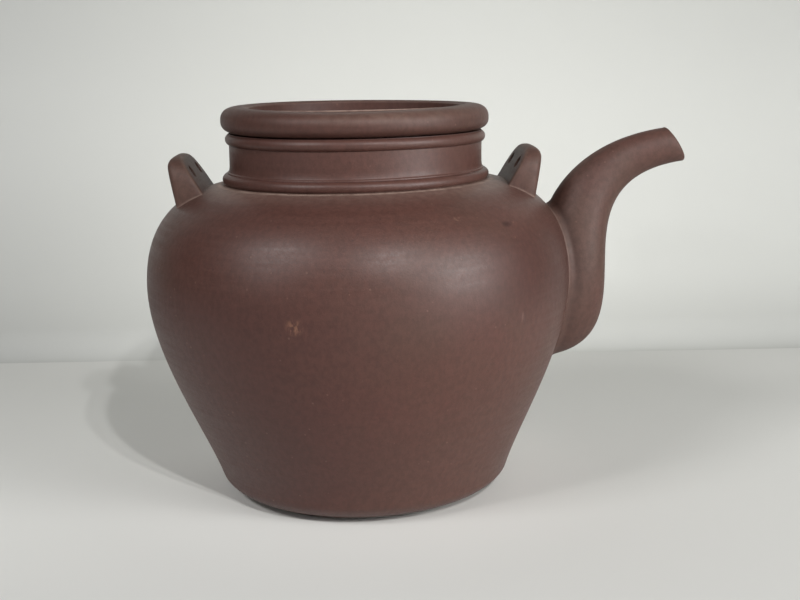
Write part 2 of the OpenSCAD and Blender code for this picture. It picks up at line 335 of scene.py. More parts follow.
class Nodes:
    """Writes one material's or world's shader nodes."""

    noise_span: Span = (0.3, 0.7)
    mark_core: float = 0.2

    def __init__(self, owner: bpy.types.Material | bpy.types.World) -> None:
        """Turns the owner's nodes on and empties their tree."""
        owner.use_nodes = True
        self.tree = owner.node_tree
        self.tree.nodes.clear()

    def add(self, kind: str, values: dict | None = None, **settings: object) -> bpy.types.Node:
        """Adds one node.

        Args:
            kind: Blender's name for the node's type.
            values: What each input holds or is linked from, by name or place.
            settings: The node's own settings.

        Returns:
            The new node.
        """
        node = self.tree.nodes.new(kind)
        for key, setting in settings.items():
            setattr(node, key, setting)
        for key, value in (values or {}).items():
            if isinstance(value, Socket):
                self.tree.links.new(value, node.inputs[key])
            else:
                node.inputs[key].default_value = value
        return node

    def place(self) -> Socket:
        """Gives the place on the piece's own coordinates, in metres."""
        return self.add("ShaderNodeTexCoord").outputs["Object"]

    def axes(self, place: Socket) -> tuple[Socket, Socket, Socket]:
        """Gives a place along each axis."""
        x, y, z = self.add("ShaderNodeSeparateXYZ", {0: place}).outputs
        return x, y, z

    def math(self, operation: str, first: object, *others: object) -> Socket:
        """Adds a sum of one value or more, worked from the left, and gives its output."""
        for value in others or (0.0,):
            first = self.add("ShaderNodeMath", {0: first, 1: value}, operation=operation).outputs[0]
        return first

    def vector(self, operation: str, first: object, second: Sequence[float]) -> Socket:
        """Adds a sum of a place and three numbers and gives the new place."""
        return self.add("ShaderNodeVectorMath", {0: first, 1: second}, operation=operation).outputs[0]

    def length(self, place: Socket) -> Socket:
        """Gives how far a place is from the origin."""
        return self.add("ShaderNodeVectorMath", {0: place}, operation="LENGTH").outputs["Value"]

    def ramp(self, value: object, low: float, high: float, start: float = 0.0, end: float = 1.0) -> Socket:
        """Takes a value from low to high on a soft step from start to end, and gives its output."""
        values = {"Value": value, "From Min": low, "From Max": high, "To Min": start, "To Max": end}
        return self.add("ShaderNodeMapRange", values, interpolation_type="SMOOTHSTEP").outputs[0]

    def swing(self, noise: Socket, middle: float, amount: float) -> Socket:
        """Turns a noise into a value that swings by an amount to both sides of a middle."""
        return self.ramp(noise, *self.noise_span, middle - amount, middle + amount)

    def blend(self, share: object, first: object, second: object, mode: str = "MIX") -> Socket:
        """Mixes two colours and gives the output."""
        node = self.add("ShaderNodeMix", {0: share, 6: first, 7: second}, data_type="RGBA", blend_type=mode)
        return node.outputs[2]

    def shaded(self, colour: object, shade: Socket) -> Socket:
        """Multiplies a colour by a value and gives the output."""
        grey = self.add("ShaderNodeCombineColor", {0: shade, 1: shade, 2: shade}).outputs[0]
        return self.blend(1.0, colour, grey, "MULTIPLY")

    def noise(self, place: object, scale: float, detail: float = 2.0, rough: float = 0.5) -> Socket:
        """Adds a noise and gives its value."""
        values = {"Vector": place, "Scale": scale, "Detail": detail, "Roughness": rough}
        return self.add("ShaderNodeTexNoise", values).outputs["Fac"]

    def stretched_noise(self, place: object, scale: Triple, detail: float, rough: float) -> Socket:
        """Adds a noise with a scale of its own along each axis and gives its value."""
        longer = self.add("ShaderNodeMapping", {"Vector": place, "Scale": scale}).outputs[0]
        return self.noise(longer, 1.0, detail, rough)

    def close_to(self, place: object, centre: Triple, reach: Triple) -> Socket:
        """Gives 1 at a point of the surface, falling to 0 at a reach along each axis, in millimetres."""
        away = self.vector("SUBTRACT", place, Vector(centre) * MM)
        span = self.vector("MULTIPLY", away, Vector([1.0 / (r * MM) for r in reach]))
        return self.ramp(self.length(span), 1.0, self.mark_core)


@dataclass(frozen=True)
class Mark:
    """One small mark on the clay, broken up by a noise of its own scale, or whole where that scale is 0."""

    centre: Triple
    reach: Triple
    colour: Rgba
    strength: float
    breakup: Triple


@dataclass(frozen=True)
class Clay:
    """The purple-brown stoneware: its tones, grain, specks, rubbing, dust and marks, and painted shade and
    painted highlights.

    A scale is a number of repeats in a metre. Sand and pits each hold the scale of their cells and the share
    of the cells that stay bare.
    """

    name: str
    red: Rgba = linear(87, 58, 51)
    olive: Rgba = linear(83, 59, 51)
    pale: Rgba = linear(158, 136, 124)
    speck: Rgba = linear(122, 92, 80)
    # Colour of the dark pits in the clay, and of the painted shade in hollows and beside seams.
    pit_and_shade: Rgba = linear(56, 37, 34)
    # Colour of the painted shade on the rear side and near the spout.
    side_shade_colour: Rgba = linear(70, 38, 33)
    ruddy_tint: Rgba = (1.08, 0.9, 0.87, 1.0)
    roughness: float = 0.46
    gloss: float = 0.5
    mottle: float = 0.09
    # Strength of the painted shade on the rear side and near the spout.
    side_shade: float = 0.0
    ruddy: float = 0.0
    marks: tuple[Mark, ...] = ()
    cloud_scale: float = 9.0
    patch_scale: float = 46.0
    cloud_share: float = 0.65
    swell_scale: float = 24.0
    swell_depth: float = 0.0006
    dust_scale: float = 260.0
    grain_scale: float = 1500.0
    tooth_depth: float = 0.0002
    fleck_scale: Triple = (420.0, 420.0, 300.0)
    fleck_tone: float = 1.3
    streak_scale: Triple = (14.0, 14.0, 620.0)
    streak_tone: float = 0.03
    worn_roughness: float = 0.2
    sand: Span = (480.0, 0.975)
    pits: Span = (430.0, 0.985)
    dot_edge: Span = (0.3, 0.12)
    dot_strength: float = 0.4
    mark_break: Span = (0.42, 0.62)
    ruddy_z: Span = (0.115, 0.068)
    # Where the painted shade lies: the rear side, weaker high up, and a band near the spout at its height.
    rear_x: Span = (0.045, -0.045)
    rear_z: Span = (0.118, 0.096)
    rear_high: float = 0.35
    spout_x: Span = (0.03, 0.08)
    spout_low_z: Span = (0.08, 0.108)
    spout_high_z: Span = (0.136, 0.122)
    spout_side_shade: float = 0.8

    def material(self) -> bpy.types.Material:
        """Builds the clay's material.

        Returns:
            The material, on object coordinates and the stored rubbing, dust and painted light of each piece.
        """
        material = bpy.data.materials.new(self.name)
        n = Nodes(material)
        place = n.place()
        grain = n.noise(place, self.grain_scale, 3.0, 0.7)
        fleck = n.stretched_noise(place, self.fleck_scale, 4.0, 0.65)
        streak = n.stretched_noise(place, self.streak_scale, 3.0, 0.6)
        streaky = n.swing(streak, 0.0, self.streak_tone)
        wear_and_painted_light = n.add("ShaderNodeAttribute", attribute_name=WEAR_AND_LIGHT).outputs["Fac"]
        broken = n.ramp(n.noise(place, self.dust_scale, 3.0), 0.3, 0.65, 0.5, 1.0)
        # Pale where the stored value is above 0: rubbing, dust and painted highlights.
        pale_wear_and_highlight = n.math("MULTIPLY", n.math("MAXIMUM", wear_and_painted_light, 0.0), broken)
        # Painted shade where the stored value is below 0: in the lugs' holes and beside the spout's seam.
        painted_shade_share = n.math("MAXIMUM", n.math("MULTIPLY", wear_and_painted_light, -1.0), 0.0)
        shade = n.math("ADD", n.ramp(grain, 0.25, 0.75, 1.0 - self.mottle, 1.0 + self.mottle), streaky,
                       n.swing(fleck, 0.0, self.fleck_tone * self.mottle))
        colour = self.speckled(n, place, n.shaded(self.tone(n, place), shade))
        colour = n.blend(pale_wear_and_highlight, colour, self.pale)
        colour = n.blend(painted_shade_share, colour, self.pit_and_shade)
        rough = n.math("ADD", n.swing(grain, self.roughness, 0.05), streaky,
                       n.math("MULTIPLY", pale_wear_and_highlight, self.worn_roughness), n.swing(fleck, 0.0, -0.02))
        relief = ((1.0, self.swell_depth, n.noise(place, self.swell_scale, 1.0)),
                  (0.06, self.tooth_depth, streak), (0.2, self.tooth_depth, grain))
        normal: dict[str, Socket] = {}
        for strength, depth, height in relief:
            values = {"Strength": strength, "Distance": depth, "Height": height, **normal}
            normal = {"Normal": n.add("ShaderNodeBump", values).outputs[0]}
        values = {"Base Color": self.marked(n, place, colour), "Roughness": rough,
                  "Specular IOR Level": self.gloss, **normal}
        shader = n.add("ShaderNodeBsdfPrincipled", values)
        n.add("ShaderNodeOutputMaterial", {"Surface": shader.outputs[0]})
        return material

    def tone(self, n: Nodes, place: Socket) -> Socket:
        """Gives the colour under the grain: cloudy, redder low down, painted shade behind and high by the
        spout.
        """
        x, _, z = n.axes(place)
        cloud = n.math("MULTIPLY", n.noise(place, self.cloud_scale), self.cloud_share)
        patch = n.math("MULTIPLY", n.noise(place, self.patch_scale, 4.0, 0.6), 1.0 - self.cloud_share)
        colour = n.blend(n.ramp(n.math("ADD", cloud, patch), 0.4, 0.62), self.red, self.olive)
        low_down = n.ramp(z, *self.ruddy_z, 0.0, self.ruddy)
        colour = n.blend(low_down, colour, self.ruddy_tint, "MULTIPLY")
        # Painted shade: darker on the rear side, less so high up, and in a band near the spout.
        behind = n.math("MULTIPLY", n.ramp(x, *self.rear_x), n.ramp(z, *self.rear_z, self.rear_high, 1.0))
        at_spout = n.math("MULTIPLY", n.ramp(x, *self.spout_x, 0.0, self.spout_side_shade),
                          n.ramp(z, *self.spout_low_z), n.ramp(z, *self.spout_high_z))
        side_shade_share = n.math("MULTIPLY", n.math("MAXIMUM", behind, at_spout), self.side_shade)
        return n.blend(side_shade_share, colour, self.side_shade_colour)

    def speckled(self, n: Nodes, place: Socket, colour: Socket) -> Socket:
        """Strews pale sand and dark pits over a colour, and gives the new colour."""
        for (scale, bare), dot in ((self.sand, self.speck), (self.pits, self.pit_and_shade)):
            cells = n.add("ShaderNodeTexVoronoi", {"Vector": place, "Scale": scale}).outputs
            lot = n.add("ShaderNodeSeparateColor", {0: cells["Color"]}).outputs[0]
            spot = n.math("MULTIPLY", n.ramp(cells["Distance"], *self.dot_edge),
                          n.math("GREATER_THAN", lot, bare), self.dot_strength)
            colour = n.blend(spot, colour, dot)
        return colour

    def marked(self, n: Nodes, place: Socket, colour: Socket) -> Socket:
        """Lays each small mark over a colour, and gives the new colour."""
        for mark in self.marks:
            near = n.close_to(place, mark.centre, mark.reach)
            broken = n.ramp(n.stretched_noise(place, mark.breakup, 3.0, 0.6), *self.mark_break)
            colour = n.blend(n.math("MULTIPLY", near, broken, mark.strength), colour, mark.colour)
        return colour


@dataclass
class Dresser:
    """Gives each finished piece its clay and its body, and hides the frame's nodes that it stands for."""

    pot_clay: bpy.types.Material
    matt_clay: bpy.types.Material
    lid_clay: bpy.types.Material

    def dress(self, piece: bpy.types.Object, body: Body, *nodes: str, matt: bool = False) -> None:
        """Finishes one piece.

        Args:
            piece: The piece, its mesh in place.
            body: The body that it rides on.
            nodes: The frame's nodes that it stands for.
            matt: Whether it is one of the pot's pieces that were left unburnished.
        """
        on_lid = body is Body.LID
        pot_clay = self.matt_clay if matt else self.pot_clay
        piece.data.materials.clear()
        piece.data.materials.append(self.lid_clay if on_lid else pot_clay)
        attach(piece, body.value)
        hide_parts(*nodes)
        LOG.info("%s: %d faces, rides on %s, stands for %s", piece.name, len(piece.data.polygons), body.value,
                 ", ".join(nodes))


@dataclass
class PotBody:
    """The wide-shouldered body, luted from a base disc and two halves, with the strainer behind the spout."""

    belly_r: float = 100.0
    belly_h: float = 100.6
    belly_fall: float = 31.0
    belly_rise: float = 26.0
    foot_r: float = 69.9
    foot_round: float = 12.0
    foot_turn: float = 21.0
    foot_lean: float = 17.6
    foot_run: float = 22.5
    base_t: float = 8.0
    flat_r: float = 30.0
    shoulder_h: float = 147.4
    shoulder_r: float = 62.5
    shoulder_fall: float = 8.6
    shoulder_run: float = 26.0
    seat_r: float = 59.0
    opening_r: float = 54.6
    wall: float = 6.0
    inside_round: float = 7.0
    strainer_h: float = 85.0
    strainer_r: float = 2.5
    strainer_pitch: float = 8.4
    strainer_sides: int = 28
    dust_at: float = 1.5
    dust_w: float = 2.2
    film_front: float = 0.26
    film_sides: float = 0.45
    film_half_w: float = 20.0
    film_and_highlight_blend: float = 40.0
    film_reach: float = 17.0
    edge_steps: int = 18
    lower_steps: int = 72
    upper_steps: int = 130
    inside_steps: int = 48
    core_steps: int = 40
    core_sides: int = 160
    sides: int = 216
    crease: float = 38.0
    heights: list[float] = field(default_factory=list)
    radii: list[float] = field(default_factory=list)

    def __post_init__(self) -> None:
        """Keeps the outside as a table of height and radius."""
        outside = self.outside()
        self.heights = [p.y for p in outside]
        self.radii = [p.x for p in outside]

    def foot_end(self) -> float:
        """Gives the angle on the foot's oval edge where it meets the wall."""
        return -math.atan(self.foot_round / self.foot_turn * math.tan(math.radians(self.foot_lean)))

    def lower(self) -> Curve:
        """Gives the outside from the foot to the belly."""
        lean = math.radians(self.foot_lean)
        foot = Vector((self.foot_r, self.foot_round * (1.0 + math.sin(self.foot_end()))))
        rise = self.foot_run * Vector((math.sin(lean), math.cos(lean)))
        belly = Vector((self.belly_r, self.belly_h))
        return Curve(foot, foot + rise, belly - Vector((0.0, self.belly_fall)), belly)

    def upper(self) -> Curve:
        """Gives the outside from the belly to the foot of the neck."""
        fall = math.radians(self.shoulder_fall)
        belly = Vector((self.belly_r, self.belly_h))
        top = Vector((self.shoulder_r, self.shoulder_h))
        run = self.shoulder_run * Vector((math.cos(fall), -math.sin(fall)))
        return Curve(belly, belly + Vector((0.0, self.belly_rise)), top + run, top)

    def outside(self) -> list[Vector]:
        """Lists the outside from the edge of the foot to the foot of the neck."""
        end = self.foot_end()
        flat = self.foot_r - self.foot_turn * math.cos(end)
        turns = [mix(-0.5 * math.pi, end, i / self.edge_steps) for i in range(self.edge_steps)]
        edge = [Vector((flat + self.foot_turn * math.cos(a), self.foot_round * (1.0 + math.sin(a))))
                for a in turns]
        return edge + self.lower().run(self.lower_steps) + self.upper().run(self.upper_steps)[1:]

    def inside(self) -> list[Vector]:
        """Lists the inside from the opening under the neck down to the middle of the floor."""
        upper = self.upper().run(self.core_steps, self.wall)[::-1]
        floor = self.base_t + self.inside_round
        lower = [p for p in self.lower().run(self.inside_steps, self.wall)[::-1][1:] if p.y > floor]
        corner = lower[-1].x
        bend = arc((corner - self.inside_round, floor), self.inside_round, -10.0, -90.0, 7)
        return upper + lower + bend + [Vector((self.flat_r, self.base_t)), Vector((0.0, self.base_t))]

    def radius(self, height: float) -> float:
        """Gives the radius of the outside at a height."""
        i = min(max(bisect_left(self.heights, height), 1), len(self.heights) - 1)
        low, high = self.heights[i - 1], self.heights[i]
        return mix(self.radii[i - 1], self.radii[i], (height - low) / max(high - low, TINY))

    def normal(self, point: Vector) -> Vector:
        """Gives the direction square to the outside at a point on it."""
        slope = self.radius(point.z + 0.5) - self.radius(point.z - 0.5)
        out = Vector((point.x, point.y, 0.0)).normalized()
        return (out - Vector((0.0, 0.0, slope))).normalized()

    def core(self, depth: float) -> bpy.types.Object:
        """Makes the body filled in, its surface moved in by a depth, as a cutter."""
        inner = self.lower().run(self.core_steps, depth) + self.upper().run(self.core_steps, depth)[1:]
        low, high = (Vector((0.0, p.y)) for p in (inner[0], inner[-1]))
        return turned("core", [low, *inner, high], self.core_sides)

    def strainer(self) -> bpy.types.Object:
        """Makes the seven rods that pierce the wall behind the spout."""
        middle = Vector((self.belly_r - self.wall, 0.0, self.strainer_h))
        ring = [math.radians(a) for a in range(0, 360, 60)]
        places = [middle + self.strainer_pitch * Vector((0.0, math.cos(a), math.sin(a))) for a in ring]
        turn = Matrix.Rotation(math.pi / 2, 4, "Y")
        return rods("strainer", [middle, *places], self.strainer_r, 6 * self.wall, turn, self.strainer_sides)

    def wear_and_painted_light(self, point: Vector) -> float:
        """Gives the line of dust in the crease under the neck and the thin layer of it on the shoulder."""
        if point.z < self.belly_h:
            return 0.0
        away = math.hypot(point.x, point.y) - self.shoulder_r
        front = fade(max(0.0, abs(point.x) - self.film_half_w), self.film_and_highlight_blend)
        film_and_painted_light = mix(self.film_sides, self.film_front, front)
        return max(fade(away - self.dust_at, self.dust_w), film_and_painted_light * fade(away, self.film_reach))

    def build(self, dresser: Dresser) -> None:
        """Turns the body, pierces its strainer and dresses it."""
        under = [Vector((0.0, 0.0)), Vector((self.flat_r, 0.0))]
        seat = [Vector((self.seat_r, self.shoulder_h)), Vector((self.opening_r, self.shoulder_h)),
                Vector((self.opening_r, self.shoulder_h - self.wall))]
        piece = turned("pot_body", under + self.outside() + seat + self.inside(), self.sides)
        carve(piece, self.strainer(), Cut.AWAY)
        soften(piece, self.crease)
        paint_wear_and_light(piece, self.wear_and_painted_light)
        dresser.dress(piece, Body.POT, "base_disc", "lower_body", "upper_body")


@dataclass
class Neck:
    """The upright neck band with its fine line, the bead round its foot and the bead round its mouth."""

    foot_h: float = 147.4
    mouth_h: float = 170.2
    neck_r: float = 59.1
    flare: float = 0.7
    cove: float = 1.2
    cove_h: float = 4.0
    inner_r: float = 54.6
    lip_r: float = 1.0
    foot_bead_r: float = 2.6
    foot_bead_edge: float = 62.5
    foot_bead_turns: Span = (-82.0, 112.0)
    foot_bead_bed: float = 0.15
    mouth_bead_r: float = 2.7
    mouth_bead_edge: float = 60.8
    mouth_bead_turns: Span = (-105.0, 88.0)
    bead_sunk: float = 0.6
    line_r: float = 0.4
    line_height: float = 0.7
    line_reach: float = 1.6
    lean_below_foot: float = 4.0
    lean_below_mouth: float = 5.0
    dust: float = 0.5
    dust_h: float = 0.6
    band_steps: int = 8
    bead_steps: int = 28
    sides: int = 192
    crease: float = 50.0

    def bead_top(self) -> float:
        """Gives the height of the top of the foot bead, which is bedded a little into the shoulder."""
        return self.foot_h + (2.0 - self.foot_bead_bed) * self.foot_bead_r

    def cove_point(self, turn: float) -> Vector:
        """Gives a point of the hollow curve over the foot bead, with the fine line raised on it."""
        reach, rise = 1.0 - math.sin(turn), 1.0 - math.cos(turn)
        point = Vector((self.neck_r + self.cove * reach, self.bead_top() + self.cove_h * rise))
        line = Vector((self.neck_r + 0.5 * self.cove, self.bead_top() + self.line_r))
        out = Vector((self.cove_h * math.sin(turn), self.cove * math.cos(turn))).normalized()
        near = fade((point - line).length, self.line_reach * self.line_r)
        return point + self.line_height * self.line_r * near * out

    def collar(self) -> bpy.types.Object:
        """Makes the neck band."""
        low_r = self.neck_r + self.flare
        cove = [self.cove_point(math.radians(a)) for a in range(0, 91, 3)]
        heights = [mix(cove[-1].y, self.mouth_h, (i + 1) / self.band_steps) for i in range(self.band_steps)]
        band = [Vector((self.neck_r, height)) for height in heights]
        lip = arc((self.inner_r + self.lip_r, self.mouth_h - self.lip_r), self.lip_r, 90.0, 180.0, 5)
        outline = [Vector((low_r, self.foot_h)), Vector((low_r, self.bead_top()))] + cove + band + lip
        return turned("neck_band", outline + [Vector((self.inner_r, self.foot_h))], self.sides)

    def bead(self, name: str, edge: float, radius: float, height: float, turns: Span) -> bpy.types.Object:
        """Makes a bead of clay round the neck.

        Args:
            name: Name of the piece.
            edge: Radius of its outer edge from the axis.
            radius: Radius of its round section.
            height: Height of the middle of the section.
            turns: Angles between which the section is round, in degrees.

        Returns:
            The new object.
        """
        outline = arc((edge - radius, height), radius, turns[0], turns[1], self.bead_steps)
        back = self.neck_r - self.bead_sunk
        outline += [Vector((back, outline[-1].y)), Vector((back, outline[0].y))]
        return turned(name, outline, self.sides)

    def wear_and_painted_light(self, point: Vector) -> float:
        """Gives the dust in the crease under the foot bead."""
        return self.dust * fade(point.z - self.foot_h, self.dust_h)

    def build(self, dresser: Dresser) -> None:
        """Makes and dresses the band and its two beads."""
        band = self.collar()
        foot_bead = self.bead("foot_ring", self.foot_bead_edge, self.foot_bead_r,
                              self.bead_top() - self.foot_bead_r, self.foot_bead_turns)
        mouth_bead = self.bead("mouth_ring", self.mouth_bead_edge, self.mouth_bead_r,
                               self.mouth_h - self.mouth_bead_r, self.mouth_bead_turns)
        nodes = {"neck_collar": band, "neck_foot_bead": foot_bead, "mouth_bead": mouth_bead}
        for node, piece in nodes.items():
            LEAN.apply(piece, self.foot_h - self.lean_below_foot, self.mouth_h - self.lean_below_mouth)
            soften(piece, self.crease)
            paint_wear_and_light(piece, self.wear_and_painted_light)
            dresser.dress(piece, Body.POT, node)


@dataclass
class Spout:
    """The hollow bent spout, drawn out by hand from a tall root to a slanting tip.

    A hand holds, for the underside or the top, how far the skin runs on from its root, its lift there in
    degrees, and how far it runs straight into the tip.
    """

    body: PotBody
    root_low: float = 58.8
    root_high: float = 131.8
    root_w: float = 40.0
    tip: Span = (150.8, 159.6)
    tip_len: float = 18.4
    tip_w: float = 16.4
    tip_slant: float = 31.2
    tip_rise: float = 7.0
    tip_bow: float = 0.2
    root_wall: float = 5.0
    tip_wall: float = 2.8
    low_hand: Triple = (57.7, 7.5, 70.5)
    high_hand: Triple = (1.0, 60.0, 44.5)
    fillet: float = 1.8
    fillet_run: float = 4.5
    sunk: float = 1.5
    root_shares: Triple = (0.01, 0.02, 0.03)
    root_start: float = 0.02
    tip_step: int = 22
    seam: float = 0.3
    seam_w: float = 0.9
    seam_h: float = 84.0
    seam_blend: float = 22.0
    seam_over: float = 4.0
    seam_x: float = 112.0
    # Painted shade just beside the seam: its strength, its distance out from the seam and its width.
    film_and_painted_light: float = 0.25
    painted_shade_at: float = 4.0
    painted_light_w: float = 3.5
    sides: int = 84
    rings: int = 64
    crease: float = 60.0

    def bedded(self, across: float, height: float, depth: float = 0.0) -> Vector:
        """Gives the point of the body's outside at a distance across and a height, sunk by a depth."""
        reach = self.body.radius(height) - depth
        return Vector((math.sqrt(reach * reach - across * across), across, height))

    def tip_point(self, angle: float, inset: float, push: float) -> Vector:
        """Gives a point of the slanting tip.

        Args:
            angle: Angle round the tip from its top.
            inset: Distance in from the outer edge.
            push: Distance out along the spout.

        Returns:
            The point.
        """
        slant = math.radians(self.tip_slant)
        up = (0.5 * self.tip_len - inset) * math.cos(angle)
        out = push + self.tip_bow * math.sin(angle) ** 2
        return Vector((self.tip[0] - up * math.sin(slant) + out * math.cos(slant),
                       (0.5 * self.tip_w - inset) * math.sin(angle),
                       self.tip[1] + up * math.cos(slant) + out * math.sin(slant)))

    def strand(self, angle: float) -> Curve:
        """Gives the curve of the outer skin at an angle from its top."""
        share = 0.5 * (1.0 + math.cos(angle))
        length, lift, reach = (mix(low, high, share) for low, high in zip(self.low_hand, self.high_hand))
        lift, rise = math.radians(lift), math.radians(self.tip_rise)
        root = self.bedded(0.5 * self.root_w * math.sin(angle), mix(self.root_low, self.root_high, share))
        end = self.tip_point(angle, 0.0, 0.0)
        return Curve(root, root + length * Vector((math.cos(lift), 0.0, math.sin(lift))),
                     end - reach * Vector((math.cos(rise), 0.0, math.sin(rise))), end)

    def out(self, angle: float, t: float) -> Vector:
        """Gives the direction square to the outer skin."""
        step = math.radians(1.0)
        across = self.strand(angle + step).at(t) - self.strand(angle - step).at(t)
        curve = self.strand(angle)
        along = curve.at(min(1.0, t + 0.01)) - curve.at(max(0.0, t - 0.01))
        return along.cross(across).normalized()

    def outer_point(self, angle: float, t: float) -> Vector:
        """Gives a point of the outer skin, flared where it is luted to the body."""
        strand = self.strand(angle)
        point = strand.at(t)
        run = (point - strand.start).length
        if run >= self.fillet_run:
            return point
        flare = self.fillet * (1.0 - run / self.fillet_run) ** 2
        out = self.out(angle, max(t, self.root_start))
        face = self.body.normal(strand.start)
        aside = (out - out.dot(face) * face).normalized()
        return point + flare * aside

    def foot_point(self, angle: float, depth: float) -> Vector:
        """Gives a point of the flared foot of the skin, sunk into the body by a depth."""
        foot = self.outer_point(angle, 0.0)
        return self.bedded(foot.y, foot.z, depth)

    def inner_point(self, angle: float, t: float) -> Vector:
        """Gives a point of the inner skin, one wall inside the outer one."""
        return self.strand(angle).at(t) - mix(self.root_wall, self.tip_wall, t) * self.out(angle, t)

    def stations(self) -> list[Rule]:
        """Lists the rings of the skin, each a rule from angle to point, from the root out and back inside."""
        shares = [i / self.rings for i in range(2, self.rings + 1)]
        half = 0.5 * self.tip_wall
        turns = [math.radians(a) for a in range(self.tip_step, 180, self.tip_step)]
        edge = [(half * (1.0 - math.cos(b)), half * math.sin(b)) for b in turns]
        path: list[Rule] = [lambda a, depth=depth: self.foot_point(a, depth) for depth in (self.sunk, 0.0)]
        path += [lambda a, t=t: self.outer_point(a, t) for t in (*self.root_shares, *shares)]
        path += [lambda a, inset=inset, push=push: self.tip_point(a, inset, push) for inset, push in edge]
        path.append(lambda a: self.tip_point(a, self.tip_wall, 0.0))
        path += [lambda a, t=t: self.inner_point(a, t) for t in shares[-2::-1]]
        return path + [lambda a: self.bedded(*self.inner_point(a, self.root_start).yz, self.sunk)]

    def mesh(self) -> bmesh.types.BMesh:
        """Draws the skin out of one ring of points, station by station.

        Returns:
            The closed mesh.
        """
        mesh = bmesh.new()
        spoke = mesh.verts.layers.int.new("spoke")
        ring = bmesh.ops.create_circle(mesh, segments=self.sides, radius=MM)["verts"]
        for i, vert in enumerate(ring):
            vert[spoke] = i
        edges = first = list(mesh.edges)
        for i, station in enumerate(self.stations()):
            if i:
                grown = bmesh.ops.extrude_edge_only(mesh, edges=edges)["geom"]
                ring = [g for g in grown if isinstance(g, bmesh.types.BMVert)]
                new = set(ring)
                edges = [g for g in grown if isinstance(g, bmesh.types.BMEdge) and set(g.verts) <= new]
            for vert in ring:
                vert.co = station(FULL_TURN * vert[spoke] / self.sides) * MM
        bmesh.ops.bridge_loops(mesh, edges=first + edges)
        bmesh.ops.recalc_face_normals(mesh, faces=mesh.faces)
        return mesh

    def wear_and_painted_light(self, point: Vector) -> float:
        """Gives the pale line where the skin is luted to the body, less the painted shade just beside it."""
        if point.z > self.root_high + self.seam_over or point.x > self.seam_x:
            return 0.0
        away = math.hypot(point.x, point.y) - self.body.radius(point.z)
        high = 1.0 - fade(max(0.0, point.z - self.seam_h), self.seam_blend)
        # A pale line on the seam, less the painted shade just beside it.
        return self.seam * high * fade(away, self.seam_w) - self.film_and_painted_light * fade(away - self.painted_shade_at, self.painted_light_w)

    def build(self, dresser: Dresser) -> None:
        """Makes and dresses the spout."""
        piece = add_object("bent_spout", self.mesh())
        soften(piece, self.crease)
        paint_wear_and_light(piece, self.wear_and_painted_light)
        dresser.dress(piece, Body.POT, "spout", matt=True)


